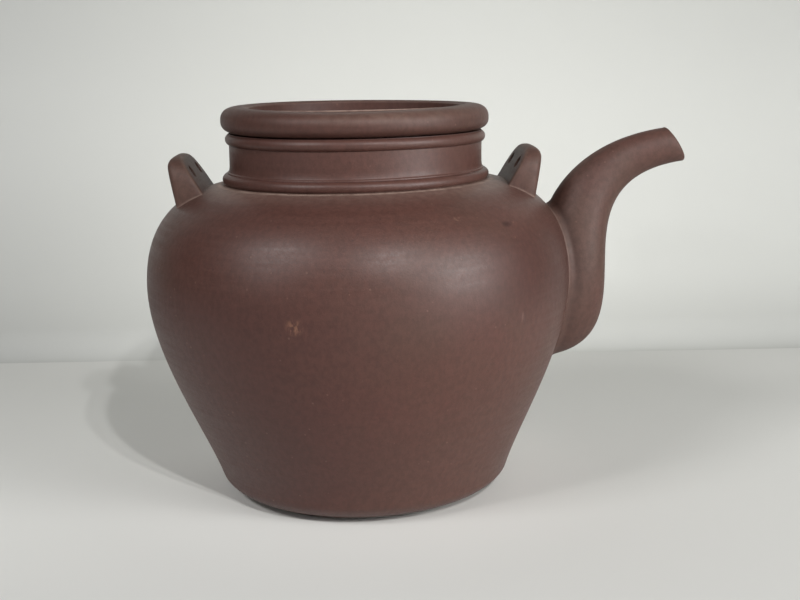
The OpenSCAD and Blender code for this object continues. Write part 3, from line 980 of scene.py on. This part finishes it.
@dataclass
class Lug:
    """One pierced lug on the shoulder: a leaning slab with an arched outline and two bail holes."""

    body: PotBody
    end: End
    length: float = 46.0
    top: float = 161.6
    crest_x: float = 82.0
    round_r: float = 3.8
    lean_in: float = 31.4
    lean_out: float = 11.3
    hole_r: float = 2.8
    hole_gap: float = 22.0
    hole_drop: float = 9.6
    hole_sides: int = 40
    bed: float = 22.3
    fullness: float = 3.6
    plan_corner: float = 7.0
    spare: float = 0.2
    skin: float = 0.55
    skin_rounds: int = 100
    grain: float = 0.42
    grain_rounds: int = 4
    rub_share: float = 0.5
    crisp: float = 0.5
    crisp_depth: float = 3.0
    # Painted shade inside the two holes: its strength, its reach round each hole and the depths it lies
    # between.
    hole_shade: float = 0.8
    hole_shade_reach: float = 1.25
    hole_shade_depth: Span = (0.7, 9.0)
    dust: float = 0.6
    dust_w: float = 1.8
    ridge: float = 0.3
    ridge_edge: Span = (0.98, 0.26)
    ridge_depth: float = 1.5
    corner_steps: int = 16
    arch_steps: int = 48
    crease: float = 80.0

    def section(self) -> bpy.types.Object:
        """Makes the slab: its side outline, drawn out across the pot."""
        crest = (self.crest_x, self.top - self.round_r)
        round_top = arc(crest, self.round_r + self.spare, -self.lean_out, 180.0 - self.lean_in,
                        self.corner_steps)
        deep = 2.0 * self.bed
        lean_out, lean_in = math.radians(self.lean_out), math.radians(self.lean_in)
        foot_out = round_top[0] - deep * Vector((math.sin(lean_out), math.cos(lean_out)))
        foot_in = round_top[-1] - deep * Vector((math.sin(lean_in), math.cos(lean_in)))
        outline = [Vector((p.x, -self.length, p.y)) for p in [foot_out, *round_top, foot_in]]
        return drawn("section", outline, Vector((0.0, 2.0 * self.length, 0.0)))

    def arch(self) -> bpy.types.Object:
        """Makes the arched outline of the face, drawn out along the spout's axis."""
        low = self.top - self.bed
        half, rise = 0.5 * self.length + self.spare, self.bed + self.spare
        power = 2.0 / self.fullness
        turns = [math.pi * i / self.arch_steps for i in range(1, self.arch_steps)]
        crown = [Vector((0.0, half * math.copysign(abs(math.cos(a)) ** power, math.cos(a)),
                         low + rise * math.sin(a) ** power)) for a in turns]
        corners = [Vector((0.0, y, z)) for y, z in ((-half, low), (-half, low - self.bed),
                                                    (half, low - self.bed))]
        outline = [Vector((0.0, half, low)), *crown, *corners]
        return drawn("arch", outline, Vector((2.0 * self.crest_x, 0.0, 0.0)))

    def plan(self) -> bpy.types.Object:
        """Makes the outline from above, its outer corners round, drawn out upwards."""
        low, half = self.top - 2.0 * self.bed, 0.5 * self.length + self.spare
        edge = self.crest_x + self.round_r + self.spare - self.plan_corner
        corner = arc((edge, half - self.plan_corner), self.plan_corner, 0.0, 90.0, self.corner_steps)
        side = corner + [Vector((0.0, half))]
        outline = side + [Vector((p.x, -p.y)) for p in reversed(side)]
        return drawn("plan", [Vector((p.x, p.y, low)) for p in outline], Vector((0.0, 0.0, 3.0 * self.bed)))

    def holes(self) -> bpy.types.Object:
        """Makes the two rods that pierce the slab."""
        tilt = math.radians(90.0 + 0.5 * (self.lean_in + self.lean_out))
        face_x = self.crest_x + self.round_r * math.tan(math.radians(self.lean_in - 45.0))
        places = [Vector((face_x, side * 0.5 * self.hole_gap, self.top - self.hole_drop)) for side in (-1, 1)]
        turn = Matrix.Rotation(tilt, 4, "Y")
        return rods("holes", places, self.hole_r, 2 * self.bed, turn, self.hole_sides)

    def depth(self, point: Vector) -> float:
        """Gives how far a point lies behind the inner face."""
        lean = math.radians(self.lean_in)
        face = Vector((-math.cos(lean), 0.0, math.sin(lean)))
        crest = Vector((self.crest_x, 0.0, self.top - self.round_r))
        return self.round_r + self.spare - face.dot(point - crest)

    def softness(self, point: Vector) -> float:
        """Gives how far a thumb has rounded a point: little at the inner face, more away from it."""
        return mix(1.0, self.crisp, fade(self.depth(point), self.crisp_depth))

    def rub(self, piece: bpy.types.Object, skin: float, rounds: int) -> None:
        """Gives the clay an even skin and rubs its edges round.

        Args:
            piece: The lug.
            skin: Size of the skin's grain.
            rounds: How long it is rubbed.
        """
        coat = piece.modifiers.new("skin", "REMESH")
        coat.mode = "VOXEL"
        coat.voxel_size = skin * MM
        settle(piece)
        soft = piece.vertex_groups.new(name="soft")
        for vert in piece.data.vertices:
            soft.add([vert.index], self.softness(vert.co / MM), "REPLACE")
        thumb = piece.modifiers.new("rub", "SMOOTH")
        thumb.factor = self.rub_share
        thumb.iterations = rounds
        thumb.vertex_group = soft.name
        settle(piece)
        piece.vertex_groups.clear()

    def wear_and_painted_light(self, point: Vector) -> float:
        """Gives the dust at the foot, the rubbed ridge round the inner face and the painted shade in the
        holes.
        """
        depth = self.depth(Vector((abs(point.x), point.y, point.z)))
        from_hole = math.hypot(abs(point.y) - 0.5 * self.hole_gap, point.z - self.top + self.hole_drop)
        shallow, deep = self.hole_shade_depth
        # Painted shade inside the holes.
        if from_hole < self.hole_shade_reach * self.hole_r and shallow < depth < deep:
            return -self.hole_shade
        away = math.hypot(point.x, point.y) - self.body.radius(min(point.z, self.body.shoulder_h))
        low = self.top - self.bed
        share = (abs(point.y) / (0.5 * self.length)) ** self.fullness
        share += (max(0.0, point.z - low) / self.bed) ** self.fullness
        edge, breadth = self.ridge_edge
        ridge = fade(min(0.0, share - edge), breadth) * fade(depth, self.ridge_depth)
        return max(self.dust * fade(away, self.dust_w), self.ridge * ridge)

    def build(self, dresser: Dresser, core: bpy.types.Object) -> None:
        """Makes and dresses the lug.

        Args:
            dresser: Gives it its clay and its body.
            core: The inside of the body's wall, which the foot of the lug is cut back to.
        """
        node = f"{self.end.name.lower()}_lug"
        piece = self.section()
        piece.name = f"pierced_{node}"
        carve(piece, self.arch(), Cut.SHARED)
        carve(piece, self.plan(), Cut.SHARED)
        self.rub(piece, self.skin, self.skin_rounds)
        carve(piece, core, Cut.AWAY, keep=True)
        carve(piece, self.holes(), Cut.AWAY)
        self.rub(piece, self.grain, self.grain_rounds)
        if self.end is End.REAR:
            piece.data.transform(Matrix.Scale(-1.0, 4, (1.0, 0.0, 0.0)))
            piece.data.flip_normals()
        soften(piece, self.crease)
        paint_wear_and_light(piece, self.wear_and_painted_light)
        dresser.dress(piece, Body.POT, node, matt=True)


@dataclass
class Lid:
    """The lift-off lid: a rolled rim, a flange that drops into the neck, a sunken floor and a low knob."""

    seat_h: float = 170.4
    rim_r: float = 62.5
    rim_h: float = 11.4
    rim_lip: float = 0.6
    lip_w: float = 1.0
    roll_share: float = 0.64
    roll_power: float = 0.82
    flange_r: float = 54.0
    recess_r: float = 49.9
    floor_top: float = 164.0
    floor_t: float = 5.0
    floor_rings: Span = (14.0, 30.0)
    lead: float = 1.2
    lip_edge: float = 0.3
    corner: float = 4.0
    vent_r: float = 1.5
    vent_y: float = 24.0
    vent_sides: int = 28
    knob_r: float = 11.5
    knob_top: float = 176.8
    knob_round: float = 3.6
    knob_foot: float = 2.2
    knob_bed: float = 0.6
    knob_sides: int = 128
    back_rise: float = 1.1
    front_turn: float = 80.0
    rise_from: float = 4.0
    lip_reach: float = 2.6
    lip_front: float = 0.25
    lip_side: float = -0.4
    lip_back: float = 0.3
    # A painted highlight on the upper roll: its strength, its middle along X and its width, how far out from
    # the recess it starts, how far below the roll's top it ends, and its soft lower edge.
    film_and_painted_light: float = 0.22
    highlight_x: float = 12.0
    painted_light_w: float = 58.0
    highlight_in: float = 3.0
    highlight_drop: float = 6.0
    highlight_top: float = 2.5
    film_and_highlight_blend: float = 3.5
    # How weak the lip's pale line and the roll's painted highlight are at the back.
    highlight_back: float = 0.1
    roll_steps: int = 40
    sides: int = 192
    crease: float = 40.0
    knob_crease: float = 50.0

    def outline(self) -> list[Vector]:
        """Lists the outline from the middle of the floor over the rim to the middle of the underside."""
        roll, rise = self.roll_share * (self.rim_r - self.recess_r), 0.5 * (self.rim_h - self.rim_lip)
        crest, top = self.seat_h + self.rim_h, self.seat_h + 2.0 * rise
        crest_r = self.rim_r - roll
        floor = [Vector((r, self.floor_top)) for r in (0.0, *self.floor_rings)]
        bend = arc((self.recess_r - self.corner, self.floor_top + self.corner), self.corner, -90.0, 0.0, 8)
        edge, lip_r = self.lip_edge, self.recess_r + self.lip_w
        wall = [Vector((self.recess_r, mix(bend[-1].y, crest - edge, share))) for share in (0.5, 0.9, 0.96)]
        lip = arc((self.recess_r + edge, crest - edge), edge, 180.0, 90.0, 6)
        lip += arc((lip_r - edge, crest - edge), edge, 90.0, 20.0, 6)
        hollow = Curve(lip[-1], lip[-1] + Vector((0.15, -0.3)), Vector((lip_r + 0.5, top)),
                       Vector((crest_r, top)))
        turns = [math.radians(mix(90.0, -90.0, i / self.roll_steps)) for i in range(self.roll_steps + 1)]
        rim = [Vector((crest_r + roll * abs(math.cos(a)) ** self.roll_power,
                       self.seat_h + rise * (1.0 + math.copysign(abs(math.sin(a)) ** self.roll_power, a))))
               for a in turns]
        low = self.floor_top - self.floor_t
        flange = [Vector((self.flange_r, self.seat_h)), Vector((self.flange_r, low + self.lead)),
                  Vector((self.flange_r - self.lead, low)), Vector((0.0, low))]
        return floor + bend + wall + lip + hollow.run(12)[1:-1] + rim + flange

    def swell(self, shell: bpy.types.Object) -> None:
        """Lets the thrown rim stand higher at its sides and back than at its front, and its lip lower."""
        roll_top = self.rim_h - self.rim_lip
        for vert in shell.data.vertices:
            point = vert.co / MM
            off = math.degrees(abs(math.atan2(point.x, -point.y)))
            round_back = 1.0 - fade(off, self.front_turn)
            high = rise_share(point.z - self.seat_h, self.rise_from, roll_top)
            inner = fade(math.hypot(point.x, point.y) - self.recess_r, self.lip_reach)
            lip_back = self.lip_side + self.lip_back * max(0.0, point.y / self.rim_r)
            lip = mix(self.lip_front, lip_back, round_back)
            vert.co.z += mix(self.back_rise * round_back, lip, inner) * high * MM

    def vent(self) -> bpy.types.Object:
        """Makes the rod that pierces the floor beside the knob."""
        place = Vector((0.0, self.vent_y, self.floor_top - 0.5 * self.floor_t))
        return rods("vent", [place], self.vent_r, 3 * self.floor_t, Matrix.Identity(4), self.vent_sides)

    def knob(self) -> bpy.types.Object:
        """Makes the low button knob on its waisted stem."""
        head, foot = self.knob_r - self.knob_round, self.knob_r - self.knob_round + self.knob_foot
        middle, bed = self.knob_top - self.knob_round, self.floor_top - self.knob_bed
        under = middle - self.knob_round
        stem = Curve(Vector((foot, self.floor_top)), Vector((head - 0.6, self.floor_top + 0.8)),
                     Vector((head - 1.4, under - 1.0)), Vector((head + 0.6, under + 0.05)))
        edge = arc((head, middle), self.knob_round, -80.0, 78.0, 22)
        dome = Curve(edge[-1], edge[-1] + Vector((-2.4, 0.35)), Vector((3.0, self.knob_top)),
                     Vector((0.0, self.knob_top)))
        outline = [Vector((0.0, bed)), Vector((foot, bed))] + stem.run(12) + edge[1:] + dome.run(8)[1:]
        return turned("lid_button", outline, self.knob_sides)

    def wear_and_painted_light(self, point: Vector) -> float:
        """Gives the rim's pale inner edge, rubbed clay with a painted highlight, and a painted highlight on
        its roll, both strongest at the front.
        """
        out = math.hypot(point.x, point.y) - self.recess_r
        above = point.z - (self.seat_h + self.rim_h - self.rim_lip)
        half = 0.5 * self.rim_r
        front = mix(self.highlight_back, 1.0, fade(max(0.0, point.y + half), half))
        if above > 0.0:
            # The pale inner edge: rubbed clay with a painted highlight, strongest at the front.
            return front * fade(out - 0.5 * self.lip_w, 1.5 * self.lip_w)
        # Painted highlight on the roll, strongest a little towards the spout and at the front.
        if out < self.highlight_in or above < -self.highlight_drop:
            return 0.0
        film_and_painted_light = self.film_and_painted_light * fade(point.x - self.highlight_x, self.painted_light_w)
        return film_and_painted_light * front * fade(min(0.0, above + self.highlight_top), self.film_and_highlight_blend)

    def build(self, dresser: Dresser) -> None:
        """Makes and dresses the lid and its knob."""
        shell = turned("lid_shell", self.outline(), self.sides)
        carve(shell, self.vent(), Cut.AWAY)
        paint_wear_and_light(shell, self.wear_and_painted_light)
        self.swell(shell)
        knob = self.knob()
        for piece in (shell, knob):
            LEAN.apply(piece, 0.0, self.floor_t)
        soften(shell, self.crease)
        dresser.dress(shell, Body.LID, "lid_rim", "lid_flange", "lid_floor")
        soften(knob, self.knob_crease)
        dresser.dress(knob, Body.LID, "lid_knob")


@dataclass(frozen=True)
class Lamp:
    """One white studio lamp, aimed at the middle of the pot, in degrees and metres."""

    name: str
    azimuth: float
    elevation: float
    distance: float
    size: Span
    level: float

    def hang(self, target: Vector) -> None:
        """Hangs the lamp.

        Args:
            target: The point that it is aimed at, in metres.
        """
        turn, lift = math.radians(self.azimuth), math.radians(self.elevation)
        way = Vector((math.sin(turn) * math.cos(lift), -math.cos(turn) * math.cos(lift), math.sin(lift)))
        data = bpy.data.lights.new(self.name, "AREA")
        data.shape = "RECTANGLE"
        data.size, data.size_y = self.size
        data.energy = self.level * (math.pi * self.distance) ** 2
        lamp = bpy.data.objects.new(self.name, data)
        lamp.location = target + way * self.distance
        lamp.rotation_mode = "QUATERNION"
        lamp.rotation_quaternion = way.to_track_quat("Z", "Y")
        bpy.context.scene.collection.objects.link(lamp)


@dataclass
class Studio:
    """The pale floor and backdrop, the soft lamps, the surroundings and the camera."""

    camera_place: Triple = (0.0, -569.21, 203.55)
    pitch: float = 0.1995
    yaw: float = 0.0339
    roll: float = -0.0263
    focal_px: float = 1202.0
    frame_px: float = 800.0
    sensor: float = 36.0
    aim: Triple = (0.0, 0.0, 0.09)
    floor_r: float = 1.6
    floor_sides: int = 96
    floor_fade: Span = (0.9, 1.5)
    # The floor's colours and shades are painted light: darker to the right, at the back and at the near left,
    # and a painted pool of light round the pot's foot.
    floor_left: Rgba = linear(231, 231, 227)
    floor_right: Rgba = linear(216, 216, 212)
    floor_x: Span = (-0.16, 0.2)
    floor_back: Span = (0.02, 0.24)
    floor_back_shade: float = 0.88
    floor_light_pool: Span = (0.075, 0.14)
    floor_light_pool_gain: float = 1.06
    corner_x: Span = (0.02, -0.16)
    corner_y: Span = (-0.04, -0.26)
    corner_shade: Span = (0.04, 0.21)
    wall_y: float = 0.2618
    wall_turn: float = -3.58
    wall_half: float = 0.62
    wall_top: float = 0.62
    wall_lift: float = 0.0004
    wall_side_fade: Span = (0.4, 0.6)
    wall_top_fade: Span = (0.36, 0.6)
    # The backdrop's colours and shades are painted shade: darker at its sides, high up, and low down by the
    # crease, more so to the right.
    wall_left: Rgba = linear(200, 201, 198)
    wall_middle: Rgba = linear(229, 230, 225)
    wall_right: Rgba = linear(196, 197, 193)
    wall_left_x: Span = (-0.33, 0.0)
    wall_right_x: Span = (0.02, 0.36)
    wall_high: Span = (0.12, 0.3)
    wall_high_shade: float = 0.79
    wall_foot: Span = (0.06, 0.0)
    wall_foot_x: Span = (-0.1, 0.12)
    wall_foot_shade: Span = (0.09, 0.17)
    sweep: float = 0.02
    sweep_steps: int = 12
    room: Rgba = linear(212, 213, 209)
    room_light: float = 0.01
    lamps: tuple[Lamp, ...] = (
        Lamp("key_outer", 21.7, 36.4, 1.89, (0.04, 0.04), 0.15),
        Lamp("key_inner", 16.8, 36.4, 1.64, (0.04, 0.04), 0.25),
        Lamp("left_low", -50.0, 22.9, 1.54, (0.08, 0.08), 0.085),
        Lamp("left_box", -48.0, 41.5, 1.4, (0.5, 0.22), 0.31),
        Lamp("right_box", 57.0, 24.0, 1.3, (0.4, 0.4), 0.15),
        Lamp("right_low", 60.0, 12.0, 1.2, (0.3, 0.5), 0.27),
        Lamp("right_mid", 47.0, 15.0, 1.2, (0.3, 0.5), 0.27),
    )

    def camera(self) -> None:
        """Sets the camera at the photograph's place, pitch, yaw and roll."""
        cy, sy, cp, sp = math.cos(self.yaw), math.sin(self.yaw), math.cos(self.pitch), math.sin(self.pitch)
        right, up = Vector((cy, -sy, 0.0)), Vector((sp * sy, sp * cy, cp))
        ahead = Vector((cp * sy, cp * cy, -sp))
        cr, sr = math.cos(self.roll), math.sin(self.roll)
        axes = Matrix((cr * right + sr * up, cr * up - sr * right, -ahead)).transposed()
        data = bpy.data.cameras.new("camera")
        data.sensor_width = self.sensor
        data.lens = self.focal_px / self.frame_px * self.sensor
        camera = bpy.data.objects.new("camera", data)
        camera.matrix_world = Matrix.Translation(Vector(self.camera_place) * MM) @ axes.to_4x4()
        bpy.context.scene.collection.objects.link(camera)
        bpy.context.scene.camera = camera

    def floor(self) -> None:
        """Lays the floor with painted shade to the right, the back and the near left, a painted pool of light
        round the pot's foot, and faded out far away.
        """
        mesh = bmesh.new()
        bmesh.ops.create_circle(mesh, cap_ends=True, segments=self.floor_sides, radius=self.floor_r)
        material = bpy.data.materials.new("floor_paper")
        n = Nodes(material)
        place = n.place()
        x, y, _ = n.axes(place)
        far = n.length(place)
        # Painted shade to the right, at the back and at the near left, and a painted pool of light round the
        # pot's foot.
        colour = n.blend(n.ramp(x, *self.floor_x), self.floor_left, self.floor_right)
        corner = n.math("MULTIPLY", n.ramp(x, *self.corner_x, *self.corner_shade), n.ramp(y, *self.corner_y))
        shade = n.math("MULTIPLY", n.ramp(y, *self.floor_back, 1.0, self.floor_back_shade),
                       n.ramp(far, *self.floor_light_pool, self.floor_light_pool_gain, 1.0),
                       n.math("SUBTRACT", 1.0, corner))
        self.paper(n, n.shaded(colour, shade), n.ramp(far, *self.floor_fade))
        self.stage("floor", mesh, material)

    def wall(self) -> None:
        """Stands the backdrop behind the pot, seen from its front alone, its top and sides faded out, with
        painted shade at its sides, high up and low by the crease.
        """
        bend = arc((self.wall_y - self.sweep, self.sweep), self.sweep, -90.0, 0.0, self.sweep_steps)
        line = bend + [Vector((self.wall_y, self.wall_top))]
        mesh = bmesh.new()
        points = [mesh.verts.new((-self.wall_half, p.x, p.y + self.wall_lift)) for p in line]
        edges = [mesh.edges.new(pair) for pair in zip(points, points[1:])]
        grown = bmesh.ops.extrude_edge_only(mesh, edges=edges)["geom"]
        moved = [g for g in grown if isinstance(g, bmesh.types.BMVert)]
        bmesh.ops.translate(mesh, verts=moved, vec=(2 * self.wall_half, 0.0, 0.0))
        bmesh.ops.rotate(mesh, verts=mesh.verts, cent=(0.0, self.wall_y, 0.0),
                         matrix=Matrix.Rotation(math.radians(self.wall_turn), 3, "Z"))
        for face in mesh.faces:
            face.smooth = True
            face.normal_update()
            if face.normal.y > 0.0 or face.normal.z < 0.0:
                face.normal_flip()
        material = bpy.data.materials.new("backdrop_paper")
        n = Nodes(material)
        x, _, z = n.axes(n.place())
        side = n.ramp(n.math("ABSOLUTE", x), *self.wall_side_fade)
        behind = n.add("ShaderNodeNewGeometry").outputs["Backfacing"]
        gone = n.math("MAXIMUM", side, n.ramp(z, *self.wall_top_fade), behind)
        # Painted shade: darker at the sides, high up, and low down by the crease.
        colour = n.blend(n.ramp(x, *self.wall_left_x), self.wall_left, self.wall_middle)
        colour = n.blend(n.ramp(x, *self.wall_right_x), colour, self.wall_right)
        foot = n.math("MULTIPLY", n.ramp(z, *self.wall_foot),
                      n.ramp(x, *self.wall_foot_x, *self.wall_foot_shade))
        shade = n.math("MULTIPLY", n.math("SUBTRACT", 1.0, foot),
                       n.ramp(z, *self.wall_high, 1.0, self.wall_high_shade))
        self.paper(n, n.shaded(colour, shade), gone)
        self.stage("backdrop", mesh, material)

    @staticmethod
    def stage(name: str, mesh: bmesh.types.BMesh, material: bpy.types.Material) -> None:
        """Puts a mesh in the scene as a part of the stage."""
        piece = add_object(name, mesh)
        piece.data.materials.append(material)

    @staticmethod
    def paper(n: Nodes, colour: Socket, gone: Socket) -> None:
        """Ends a stage material: matt paper of a colour, see-through where it is gone."""
        matt = n.add("ShaderNodeBsdfDiffuse", {"Color": colour})
        clear = n.add("ShaderNodeBsdfTransparent")
        both = n.add("ShaderNodeMixShader", {0: gone, 1: matt.outputs[0], 2: clear.outputs[0]})
        n.add("ShaderNodeOutputMaterial", {"Surface": both.outputs[0]})

    def surroundings(self) -> None:
        """Sets the room: a faint even light, shown as pale paper to the camera."""
        world = bpy.data.worlds.new("room")
        n = Nodes(world)
        path = n.add("ShaderNodeLightPath").outputs
        light = n.add("ShaderNodeBackground", {"Color": (1.0, 1.0, 1.0, 1.0), "Strength": self.room_light})
        shown = n.add("ShaderNodeBackground", {"Color": self.room, "Strength": 1.0})
        both = n.add("ShaderNodeMixShader", {0: path["Is Camera Ray"], 1: light.outputs[0],
                                             2: shown.outputs[0]})
        n.add("ShaderNodeOutputWorld", {"Surface": both.outputs[0]})
        bpy.context.scene.world = world

    def build(self) -> None:
        """Sets up the whole studio."""
        self.camera()
        self.floor()
        self.wall()
        self.surroundings()
        for lamp in self.lamps:
            lamp.hang(Vector(self.aim))
        bpy.context.scene.view_settings.view_transform = "Standard"
        LOG.info("studio: %d lamps", len(self.lamps))


SCUFF = Mark((-26.8, -96.0, 98.0), (4.6, 9.0, 4.6), linear(150, 108, 84), 0.5, (620.0, 620.0, 300.0))
NICK = Mark((63.3, -64.6, 132.9), (4.4, 4.4, 1.8), linear(48, 28, 26), 1.8, (0.0, 0.0, 0.0))
SCRATCH = Mark((69.0, -72.2, 93.8), (1.5, 6.0, 3.4), linear(140, 112, 104), 0.3, (700.0, 700.0, 120.0))
SAND = Mark((41.2, -75.6, 137.1), (2.0, 2.0, 1.4), linear(150, 118, 100), 0.5, (400.0, 400.0, 400.0))

# The pot's and the lid's clays carry painted shade on their rear side; the pot's also near the spout.
POT_CLAY = Clay("burnished_clay", side_shade=0.7, ruddy=1.0, marks=(SCUFF, NICK, SCRATCH, SAND))
MATT_CLAY = Clay("matt_clay", linear(88, 60, 53), linear(85, 62, 54), roughness=0.58, gloss=0.4, mottle=0.1)
LID_CLAY = Clay("burnished_lid_clay", linear(84, 56, 49), linear(80, 57, 49), roughness=0.54, gloss=0.42,
                side_shade=0.6)
LUG_BED = 3.0


def main() -> None:
    """Builds the pot, the lid and the studio."""
    logging.basicConfig(level=logging.INFO, format="%(name)s: %(message)s")
    dresser = Dresser(POT_CLAY.material(), MATT_CLAY.material(), LID_CLAY.material())
    body = PotBody()
    body.build(dresser)
    Neck().build(dresser)
    Spout(body).build(dresser)
    core = body.core(LUG_BED)
    for end in End:
        Lug(body, end).build(dresser, core)
    bpy.data.objects.remove(core)
    Lid().build(dresser)
    Studio().build()


if __name__ == "__main__":
    main()
